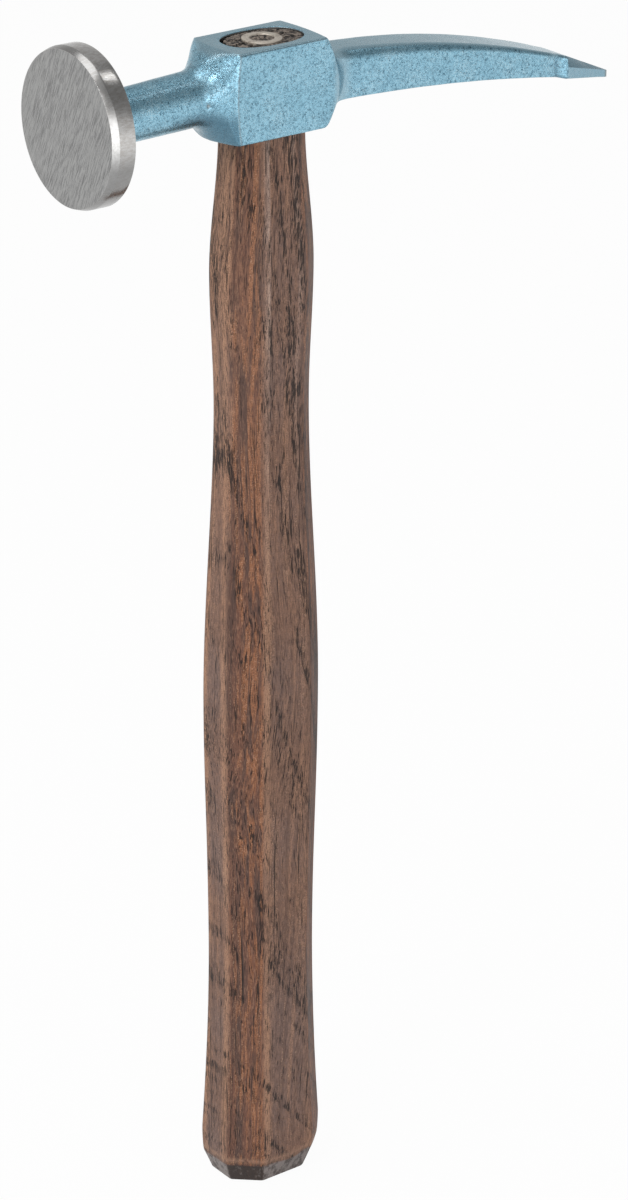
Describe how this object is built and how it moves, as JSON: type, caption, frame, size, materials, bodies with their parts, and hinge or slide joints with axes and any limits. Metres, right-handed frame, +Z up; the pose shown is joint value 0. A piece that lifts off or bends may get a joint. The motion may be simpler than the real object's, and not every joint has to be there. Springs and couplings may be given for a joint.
{
  "type": "pick hammer",
  "caption": "Panel beater's pick hammer: flat round striking face, long curved pick with a ground point, eight-sided wooden handle held by a round steel wedge.",
  "frame": {"origin": "centre of the handle's flat butt end", "axes": "+Z up the handle to the head, +X along the head to the pick, +Y across the head"},
  "size_m": [0.1706, 0.04, 0.3264],
  "materials": {
    "blue_hammertone_paint": "satin hammertone paint on forged steel, with the striking face ground bare",
    "hickory": "dark oiled, open pores",
    "bare_steel": "cut and hammered flush"
  },
  "bodies": {
    "root": {"hammer_head": "blue_hammertone_paint", "handle": "hickory", "ring_wedge": "bare_steel"}
  },
  "joints": []
}
